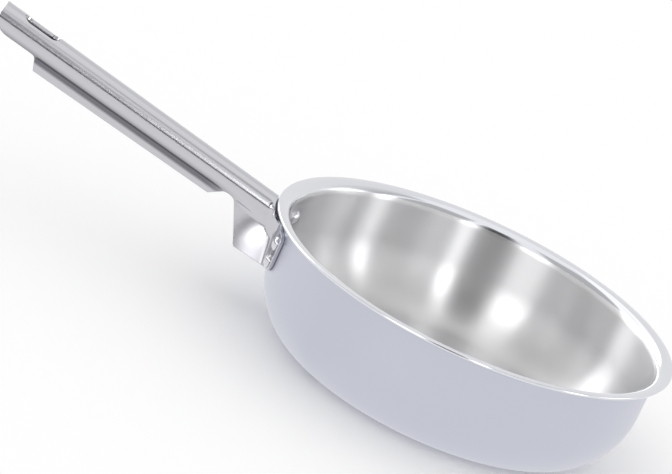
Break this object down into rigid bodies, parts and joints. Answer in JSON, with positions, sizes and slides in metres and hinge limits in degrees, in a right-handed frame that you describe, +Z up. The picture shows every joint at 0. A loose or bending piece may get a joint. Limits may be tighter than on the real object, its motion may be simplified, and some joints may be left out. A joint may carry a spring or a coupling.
{
  "type": "omelette pan",
  "caption": "Round steel frying pan with a rolled-out rim and a riveted pressed-sheet handle with a hanging slot.",
  "frame": {"origin": "centre of the pan's base, on the surface it stands on", "axes": "+Z up along the pan's own axis, +X away from the handle, +Y to the left seen from the handle"},
  "size_m": [0.4218, 0.24, 0.1047],
  "materials": {
    "pan_steel": "satin polished stainless steel",
    "handle_steel": "polished stainless steel sheet",
    "rivet_steel": "polished stainless steel"
  },
  "bodies": {
    "root": {"pan_body": "pan_steel", "handle": "handle_steel", "rivet_near_upper": "rivet_steel", "rivet_near_lower": "rivet_steel", "rivet_far_upper": "rivet_steel", "rivet_far_lower": "rivet_steel"}
  },
  "joints": []
}
